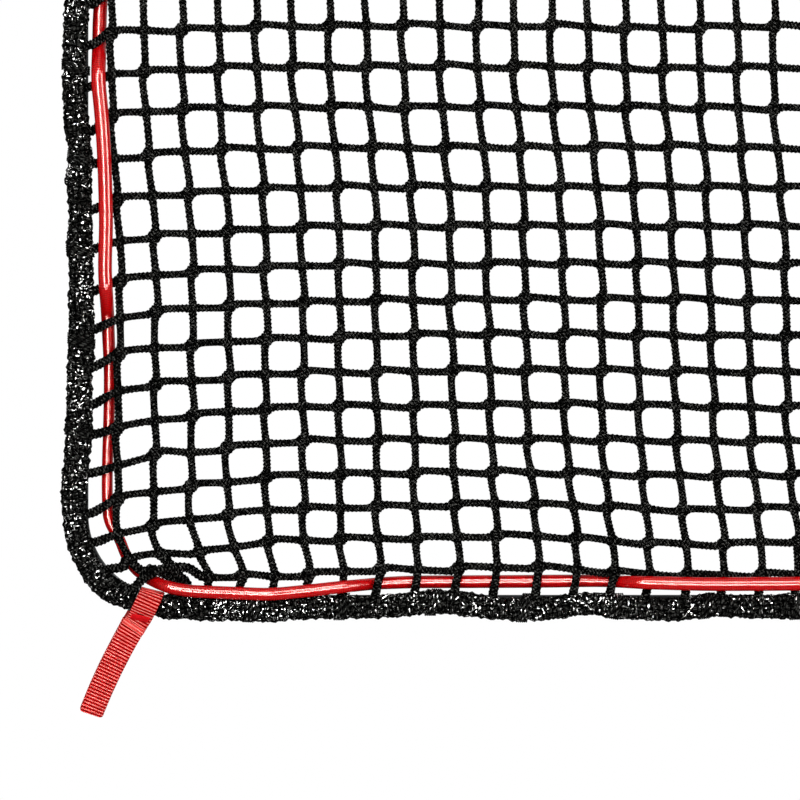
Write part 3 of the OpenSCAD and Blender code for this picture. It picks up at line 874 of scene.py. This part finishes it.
def net_twine(ends, grid_points, far_end, number, upright, seed):
    """One twine of the net, from its near end through its crossings to the far one.

    Every other knotless crossing is turned: the twine leaves it at one side and comes to it at the
    other, and two of its corners are filled. The crossings between them are square.
    """
    first = len(ends)
    last_one = first + len(grid_points) - 1
    points = np.array([*ends, *grid_points, far_end]) + np.array([0, panel_mid.y, panel_mid.z])
    line = through(points, rings_per_mesh)
    place = np.arange(len(line)) / rings_per_mesh
    within = place % 1
    held = (1 - bell(within / crossing_loose)) * (1 - bell((1 - within) / crossing_loose))
    lean_size = np.repeat(chance.uniform(0.7, 1.3, len(points)), rings_per_mesh)[:len(line)]
    lean_size *= upright_lean if upright else level_lean
    inside = (place >= first) & (place <= last_one)
    from_square = (place - first + number + 1) % 2 - 1
    line[:, 0 if upright else 2] += np.where(inside, -lean_size * from_square * held, 0)
    length = distance_along(line)
    nearest = np.clip(np.round(place), first, last_one).astype(int)
    beyond = length - length[nearest * rings_per_mesh]
    angle = turn * np.arange(twine_sides) / twine_sides
    side = np.sin(angle)[None, :] * (1 if upright else -1)
    twist = np.where((nearest - first + number) % 2 == 0, square_twist, -1)
    filled = np.sign(side) * (twist * np.tanh(beyond / fill_turn))[:, None]
    near = bell(beyond[:, None] / (crossing_half * (1 + fill_reach * filled)))
    corner = crossing_wide * np.maximum(0, fill_mean + fill_more * filled)
    swell = near * (crossing_thick + (corner - crossing_thick) * side**2)
    swell += end_wide * ramp(first - place, 0.1, 0.7)[:, None]
    beat = turn * length[:, None] / braid_period
    bumps = np.cos(beat + angle * 2) + second_share * np.cos(beat - angle * 2 + second_shift)
    radius = twine_r * (braid_base + swell + braid_bump * bumps)
    net.tube(line, facing_front(len(line)), radius, twine_sides, start=seed * new_yarn)


# The two left uprights turn aside above the shock cord and end behind it: the crossing they
# leave the grid at, and their way down from there, in mm from the panel's middle
gathered_feet = {
    0: (1, [(-546, 2, -572), (-540, 3, -570.2), (-533.8, 3, -571.8), (-527.6, 3, -574.8),
            (-521.4, 3, -577.4), (-515.1, 3, -579.6), (-509.9, 3, -583.6), (-507.5, 3, -588),
            (-505, 3, -600)]),
    1: (1, [(-525, -2, -564), (-520.5, -2, -570.5), (-517, 0, -574.6), (-512.5, 1, -578.8),
            (-509.2, 3, -583.2), (-505, 3, -600)]),
}
# The lowest level twines come from the rope, the first over the cord and into the thick of the
# gather, the second low and then up: the crossing each meets the grid at, and its way, in mm
gathered_ends = {
    0: (2, [(-584, -2, -574), (-575, -3, -578), (-566, -3, -582.6), (-559, -3, -586), (-554.5, -3, -586.4),
            (-551, -3, -583.5), (-547.2, -3, -579.4), (-542.9, -3, -576), (-538.1, -3, -573.5),
            (-530.4, -3, -570.2), (-524, -3, -569), (-515, -3, -568.5), (-507, -2, -569.8),
            (-499, -1, -575)]),
    1: (0, [(-590, -1, -579), (-581, -1, -572.5), (-572.7, 0, -570), (-563, 0, -568.4)]),
}
# How far the left end of each level twine falls on its way to the rope, in mm, from the lowest up
left_falls = [0, 0, 7, 8.5, 3, 2, 9, 9, 8, 7, 5.2, 7, 2.8, 11.5]
usual_fall = 9.4
rope_near = 12 * mm


def in_metres(points):
    return [tuple(v * mm for v in point) for point in points]


net = Skin()
for k in range(twine_count):
    x, z, y = node_x[k], node_z[k], node_y[k]
    foot_x, foot_z = into_rope(x[0] - chance.uniform(0, 5) * mm, -net_half - end_reach)
    head_x, head_z = into_rope(x[-1] + chance.uniform(-3, 3) * mm, net_half + end_reach)
    leaves, feet = gathered_feet.get(k, (0, [(foot_x / mm, 0, foot_z / mm)]))
    grid_points = list(zip(x, y, z))[leaves:]
    net_twine(in_metres(feet)[::-1], grid_points, (head_x, 0, head_z), k + leaves, True, k)
for k in range(twine_count):
    x, z, y = node_x[:, k], node_z[:, k], node_y[:, k]
    fall = (left_falls[k] if k < len(left_falls) else usual_fall) * mm
    left_x, left_z = into_rope(-net_half - end_reach, z[0] - fall)
    right_x, right_z = into_rope(net_half + end_reach, z[-1] - 0.5 * end_slope * end_reach)
    leaves, ends = 0, [(left_x, 0, left_z), (left_x + rope_near, 0, left_z + 0.1 * fall)]
    if k in gathered_ends:
        leaves, ends = gathered_ends[k]
        ends = in_metres(ends)
    grid_points = list(zip(x, -y, z))[leaves:]
    net_twine(ends, grid_points, (right_x, 0, right_z), k + leaves, False, k + 0.5)
twine_finish = cord_finish(
    "braided_twine", 0.0001, 0.003, 0.074, 0.7, 0.0007, Pitch=0.0030, Yarns=4, Fibre=0.4, Streaks=1.2,
    Groove_Low=0.35, Groove_High=0.9,
)
netting = net.piece("netting", twine_finish)
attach(netting, "net_panel")
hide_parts("net")


# ---- Lashings ----
# Thin polyester cord, five turns at each place, wound round the rope and the ring tube together
# and drawn tight, so that the rope is narrow there.
ring_low, ring_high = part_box("ring_left_tube")
ring_mid_y = (ring_low.y + ring_high.y) / 2
ring_r = (ring_high.y - ring_low.y) / 2
lash_cord_r = 0.85 * mm
lash_turns = 5
lash_width = 8 * mm
lash_slant = 2.6 * mm
lash_steps = 30
lash_sides = 6
# How tightly it lies: on the rope, as a share of it and at most, and on the ring
lash_share = 0.97
lash_most = 10.4 * mm
lash_gap = 0.05 * mm


def lashing(s_mid):
    """Turns of cord round the rope and the ring at one place on the border."""
    steps = np.arange(lash_turns * lash_steps + 1) / lash_steps
    s = s_mid + lash_width * (steps / lash_turns - 0.5) + lash_slant * np.cos(turn * steps)
    place, outward = border(s)
    held = np.minimum(girth(s) * lash_share, lash_most) + lash_cord_r
    ring_held = ring_r + lash_cord_r + lash_gap
    angle = turn * steps
    rope_out = -sway(s)
    rope_front = ring_mid_y - panel_mid.y
    on_rope = np.cos(angle) * rope_out + np.sin(angle) * rope_front + held > ring_held
    radial = np.where(on_rope, rope_out + held * np.cos(angle), ring_held * np.cos(angle))
    forward = np.where(on_rope, rope_front + held * np.sin(angle), ring_held * np.sin(angle))
    route = beside(place, outward, radial, ring_mid_y - forward)
    out_way = np.stack([outward[:, 0] * np.cos(angle), -np.sin(angle), outward[:, 1] * np.cos(angle)], -1)
    lash.tube(route, out_way, lash_cord_r, lash_sides, start=s_mid)


lash_each = 6
lash_at = 76 * mm
lash = Skin()
for side in range(4):
    for k in range(-lash_each, lash_each + 1):
        if k or side % 2:
            lashing((side + 0.5) * side_length + k * lash_at)
lashing_finish = cord_finish(
    "lashing_cord", 0.0002, 0.007, 0.05, 0.6, 0.0003, Pitch=0.007, Yarns=1, Fibre=0.4, Streaks=1.5,
    Groove_Low=0.2, Groove_High=0.75, Glint_Edge=0.86,
)
lashings = lash.piece("lashing_cord", lashing_finish)
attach(lashings, "net_panel")
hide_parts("lashings")


# ---- Shock cord ----
# One thick elastic cord: rubber strands in a tight red nylon sleeve with fine cross ribs. It runs
# just inside the rope, changes from one face of the net to the other, and ends in a pressed sleeve.
cord_rib = 1.45 * mm
cord_rib_depth = 0.08 * mm
rib_rings = 5
rib_level = 0.6
cord_sides = 16
cross_half = 15 * mm
cord_clear = 1.1
lift_window = 61

# How far inside the border's centre line it runs, in mm
left_run = [(-166, 17), (-186, 19.4), (-216, 21.5), (-246, 22.7), (-281, 23.6), (-321, 22.4),
            (-346, 23.8), (-406, 26.3), (-438, 25.7), (-488, 24), (-513, 24), (-529, 25)]
low_run = [(-513, 12), (-487, 10.7), (-440, 8.8), (-407, 12), (-380, 15.2), (-350, 17.8), (-323, 19),
           (-233, 19.4), (-167, 20), (-127, 18.6), (-75, 17.4)]
corner_run = [(50, 25.8), (38, 28), (25, 30.5), (10, 28), (-5, 24.8), (-22, 21.4), (-44, 18.5), (-57, 15.7)]
run_inset = eased(left_run, low_run, corner_run, (-110, -20, 60, 17, 23), 18 * mm)

# Its radius, in mm: it is stretched thin at the corner, and slack and thick further up
left_stretch = [(-130, 6.1), (-230, 6.0), (-345, 5.8), (-405, 5.1), (-470, 4.7)]
low_stretch = [(-480, 5.4), (-390, 5.3), (-362, 5), (-330, 5.4), (-200, 5.5), (-155, 5.1), (-120, 5.6),
               (-30, 5.9)]
corner_stretch = [(0, 4.7), (-45, 5.0)]
stretch = eased(left_stretch, low_stretch, corner_stretch, (0, 60, 300, 5.1, 5.7), 24 * mm)

# Where it changes from face to face: in the left lower part of the net, and evenly further round
last_far = along_low(-142)
shown_changes = [last_far, along_low(-365), -48 * mm + border_length, up_left(-346)]
first_far = 440 * mm
far_count = 18
far_changes = np.linspace(first_far, last_far, far_count + 1)[:-1]
changes = np.sort(np.concatenate([shown_changes, far_changes]))
# In front of the net between the corner and the first change along the bottom
front_at = along_low(-440)


def cord_face(s):
    """1 in front of the net, -1 behind it, and between them at each change."""
    s = np.mod(s, border_length)
    face = np.ones(len(s)) * (-1 if np.searchsorted(changes, front_at) % 2 else 1)
    for change in changes:
        face *= 1 - 2 * ramp(s, change - cross_half, change + cross_half)
    return face


ribs = int(border_length / cord_rib)
s_cord = np.linspace(0, border_length, rib_rings * ribs, endpoint=False)
place, outward = border(s_cord)
inset = run_inset(s_cord)
cord_r = stretch(s_cord)
from_rope = inset - sway(s_cord)
rope_reach = girth(s_cord) * (yarn_at + yarn_wave) + yarn_r + cord_r
beside_rope = np.sqrt(np.maximum(rope_reach**2 - from_rope**2, 0))
lift = np.maximum(twine_r * cord_clear + cord_r, beside_rope)
lift = smoothed(lift, np.hanning(lift_window), "wrap")
route = beside(place, outward, -inset, panel_mid.y - cord_face(s_cord) * lift)
rib = np.sin(math.pi * (np.arange(rib_rings * ribs) % rib_rings) / rib_rings) - rib_level
rib *= cord_rib_depth
out_way = facing_front(len(s_cord))
elastic = Skin()
elastic.tube(route, out_way, cord_r + rib, cord_sides, closed=True, pace=cord_rib / rib_rings)


def sleeve_finish():
    """Red nylon sleeve: glossy bright red on the ribs, and dull between them, with deep red painted shade
    in the grooves.
    """
    material, nodes, shader = new_material(
        "elastic_sleeve", Roughness=0.12, Specular_Tint=(1.0, 0.66, 0.60, 1)
    )
    rib = nodes.math("FRACT", nodes.math("DIVIDE", nodes.lay()[1], cord_rib))
    crest = nodes.math("SINE", nodes.times(rib, math.pi))
    between = nodes.spread(crest, 0.1, 0.55, 1, 0)
    look = placed(nodes, plait, Pitch=cord_rib, Yarns=7, Fibre=0.4, Groove_Low=0.15, Groove_High=0.6)
    # Painted shade: deep red in the grooves between the ribs.
    shade = nodes.mix(between, (0.50, 0.0008, 0.002, 1), (0.16, 0.0003, 0.0008, 1))
    # Painted sheen: a little lighter red on the crowns of the plait.
    shade = nodes.mix(nodes.times(look["Fleck"], 0.15), shade, (0.75, 0.03, 0.03, 1))
    nodes.fill(shader, Base_Color=shade, Specular_IOR_Level=nodes.spread(between, 0, 1, 0.26, 0))
    relief(nodes, shader, look["Height"], 0.00001)
    return material


sleeve = sleeve_finish()
shock_cord = elastic.piece("elastic_shock_cord", sleeve)
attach(shock_cord, "net_panel")
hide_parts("shock_cord")
dress(powder_coat, "cord_ferrule")


# ---- Corner tabs ----
# Red ribbed nylon webbing, 20 mm wide, looped round the rope and the ring at the lower corners,
# stitched together with a bar tack and left hanging as a double tail.
web_width = 20 * mm
web_thick = 1.3 * mm
web_rib = 2.75 * mm
web_rib_depth = 0.28 * mm
web_yarn = 0.55 * mm
web_corner = 3 * mm
tab_turn = math.radians(13.7)


def web_finish(name, low, high):
    """Ribbed webbing: ribs of thick yarn in the high colour, painted shade in the low colour between them,
    and painted highlight dots of pale pink on their ridges.
    """
    material, nodes, shader = new_material(name, Specular_IOR_Level=0.0)
    place, along, across = nodes.lay()
    wave = nodes.math("COSINE", nodes.times(along, turn / web_rib))
    crest = nodes.spread(wave, -0.85, -0.1)
    ridge = nodes.spread(wave, 0.45, 0.9)
    yarn = nodes.math("PINGPONG", nodes.times(across, 1 / web_yarn), 1.0)
    # Painted shade: the low colour in the troughs between the ribs.
    shade = nodes.mix(crest, (*low, 1), (*high, 1))
    # Painted highlight: pale pink dots along the ridges.
    ridge_highlight = nodes.times(ridge, nodes.spread(yarn, 0.2, 0.7, 0.25, 1))
    ridge_highlight = nodes.times(ridge_highlight, nodes.spread(nodes.noise(place, 700, 2), 0.38, 0.62, 0.35, 0.95))
    shade = nodes.mix(ridge_highlight, shade, (1.0, 0.52, 0.46, 1))
    nodes.fill(shader, Base_Color=shade, Roughness=nodes.spread(crest, 0, 1, 0.9, 0.6))
    relief(nodes, shader, nodes.math("ADD", crest, nodes.times(yarn, 0.4)), 0.0002)
    return material


# The low colour is painted shade between the ribs, the high one the red of the ribs.
webbing = web_finish("ribbed_webbing", (0.22, 0.0004, 0.001), (0.68, 0.022, 0.02))


def ribbon(skin, line, normal, side_way, width, thick, rib_depth):
    """Flat strip along line: side_way is across it, normal its outer face."""
    length = distance_along(line)
    ridge = rib_depth * np.cos(turn * length / web_rib)
    across = np.array([-1, -0.92, -0.45, 0, 0.45, 0.92, 1, 0.92, 0.45, 0, -0.45, -0.92]) / 2
    across = across * np.broadcast_to(width, len(line))[:, None]
    face = np.array([0, 1, 1, 1, 1, 1, 0, -1, -1, -1, -1, -1]) * thick / 2
    depth = face[None, :] + np.sign(face)[None, :] * ridge[:, None]
    verts = line[:, None] + side_way[:, None] * across[..., None] + normal[:, None] * depth[..., None]
    skin.strip(verts, length, np.hstack([across, across[:, :1]]))


web_steps = 0.34 * mm
tail_half = 0.8 * mm
neck_half = 9 * mm
neck_high = -9 * mm
neck_low = -18 * mm
tail_end = -102 * mm
# How deep the rope gives under the strap, how far off the ring it stands, and the angles from below
# at which it comes on the rope, changes to the ring, and leaves that
rope_give = 1.2 * mm
ring_off = 1.8 * mm
rope_from = math.radians(48)
ring_from = math.radians(189)
ring_to = math.radians(337.7)
arc_points = 40
section_window = 13
shift_window = 41
# Sideways place of each layer, as (height, shift) in mm from the middle of the rope
front_shift = [(-102, -23.4), (-80, -20), (-60, -16), (-40, -11.2), (-26, -7.2), (-20, -5), (-14, -2.4),
               (9.5, 2.6), (14, 3)]
back_shift = [(-102, -23.8), (-80, -20.6), (-60, -16.8), (-40, -12), (-26, -8.4), (-19, -6.6), (-9, -4),
              (14, 3)]


def tab_section():
    """Centre line of the strap across the border, as (forward, height) points, one step apart."""
    over_rope = rope_r - rope_give + web_thick / 2
    over_ring = ring_r + ring_off + web_thick / 2
    ring_back = panel_mid.y - ring_mid_y
    corners = [(tail_half, tail_end), (tail_half, neck_low)]
    for angle in np.linspace(rope_from, ring_from, arc_points):
        corners.append((over_rope * math.sin(angle), -over_rope * math.cos(angle)))
    for angle in np.linspace(ring_from, ring_to, arc_points):
        corners.append((ring_back + over_ring * math.sin(angle), -over_ring * math.cos(angle)))
    corners += [(-tail_half, neck_low), (-tail_half, tail_end)]
    corners = np.array(corners)
    reach = distance_along(corners)
    at = np.arange(0, reach[-1], web_steps)
    line = [np.interp(at, reach, values) for values in corners.T]
    window = np.hanning(section_window)
    return np.stack([smoothed(values, window, "reflect", reflect_type="odd") for values in line], -1)


stitches = 32
stitch_r = 0.3 * mm
tack_low = -16.4 * mm
tack_tall = 4.8 * mm
tack_width = 15 * mm
tack_sides = 6
tack_proud = np.array([-0.3, 0.15, 0.3, 0.15, -0.3]) * mm
fold_low = -25 * mm
fold_tall = 5 * mm
fold_proud = 0.75 * mm
fold_more = 0.6 * mm
fold_thick = 0.9 * mm
fold_rings = 9
stitching = solid_finish(
    "stitching", (0.62, 0.009, 0.013), (0.72, 0.03, 0.034), 0.6, 0.7, 0.00002, 1500, Specular_IOR_Level=0.0
)
folded_webbing = web_finish("folded_webbing", (0.72, 0.05, 0.045), (0.82, 0.085, 0.07))


forward = np.array([0, -1.0, 0])


def corner_tab(name, hand):
    """The tab of one lower corner: hand is -1 for the left, 1 for the right."""
    down = np.array([hand * math.sin(tab_turn), 0, -math.cos(tab_turn)])
    across = np.array([math.cos(tab_turn), 0, hand * math.sin(tab_turn)])
    middle = np.array([hand * corner_at, panel_mid.y, panel_mid.z - corner_at]) + down * corner_r

    def on_front(sideways, rise, proud):
        """Places on the strap's front: sideways from its middle line, by height, standing proud."""
        slide = np.interp(rise / mm, *zip(*front_shift)) * mm
        lift = np.interp(rise, [neck_low, neck_high], [tail_half, neck_half]) + web_thick / 2 + proud
        aside = hand * across * (slide - sideways)[:, None]
        return middle + forward * lift[:, None] - down * rise[:, None] - aside

    line = tab_section()
    height = line[:, 1] / mm
    front_half = np.arange(len(line)) < len(line) // 2
    shift = np.where(front_half, *(np.interp(height, *zip(*side)) for side in (front_shift, back_shift)))
    shift = smoothed(shift, np.ones(shift_window), "edge")
    route = (middle + forward * line[:, :1] - down * line[:, 1:]
             - hand * across * shift[:, None] * mm)
    ahead = unit(np.gradient(route, axis=0))
    flow = np.gradient(line, axis=0)
    normal = square_to(unit(forward * flow[:, 1:] + down * flow[:, :1]), ahead)
    side = np.cross(ahead, normal)
    reach = distance_along(route)
    from_end = np.minimum(np.minimum(reach, reach[-1] - reach), web_corner)
    cut_in = web_corner - np.sqrt(web_corner**2 - (web_corner - from_end) ** 2)
    strap = Skin()
    ribbon(strap, route, normal, side, web_width - 2 * cut_in, web_thick, web_rib_depth)
    piece = strap.piece("webbing_tab_" + name, webbing)
    tack = Skin()
    rings = len(tack_proud)
    for k in range(stitches):
        sideways = np.full(rings, (k / stitches - 0.5) * tack_width)
        rise = tack_low + tack_tall * np.linspace(0, 1, rings)
        tack.tube(on_front(sideways, rise, tack_proud), facing_front(rings), stitch_r, tack_sides)
    fold = Skin()
    rise = np.linspace(fold_low, fold_low + fold_tall, fold_rings)
    proud = fold_proud * np.sin(math.pi * np.linspace(0.08, 0.92, fold_rings)) ** 0.5
    line = on_front(np.zeros(fold_rings), rise, proud)
    side = np.cross(unit(np.gradient(line, axis=0)), forward)
    ribbon(fold, line, facing_front(fold_rings), side, web_width + fold_more, fold_thick, 0)
    tacked = tack.piece("bar_tack_" + name, stitching)
    folded = fold.piece("folded_end_" + name, folded_webbing)
    for part in (piece, tacked, folded):
        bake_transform(part)
        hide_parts("tab_loop_" + name, "tab_tail_" + name)


corner_tab("left", -1)
corner_tab("right", 1)


# ---- Knobs ----
# Six-lobed phenolic clamp knobs with a moulded-in brass bush, screwed on the ends of the pivot
# bolts by hand. The lobes are polished a little by use.
phenolic = solid_finish(
    "phenolic", (0.010, 0.010, 0.011), (0.024, 0.024, 0.025), 0.28, 0.44, 0.00003, 1500, 0.55,
    Specular_IOR_Level=0.08,
)
dress(phenolic, "knob_left", "knob_right")
brass = solid_finish(
    "brass", (0.72, 0.50, 0.22), (0.52, 0.36, 0.17), 0.28, 0.44, 0.00002, 1400, 0.52, Metallic=1.0
)
dress(brass, "knob_insert_left", "knob_insert_right")
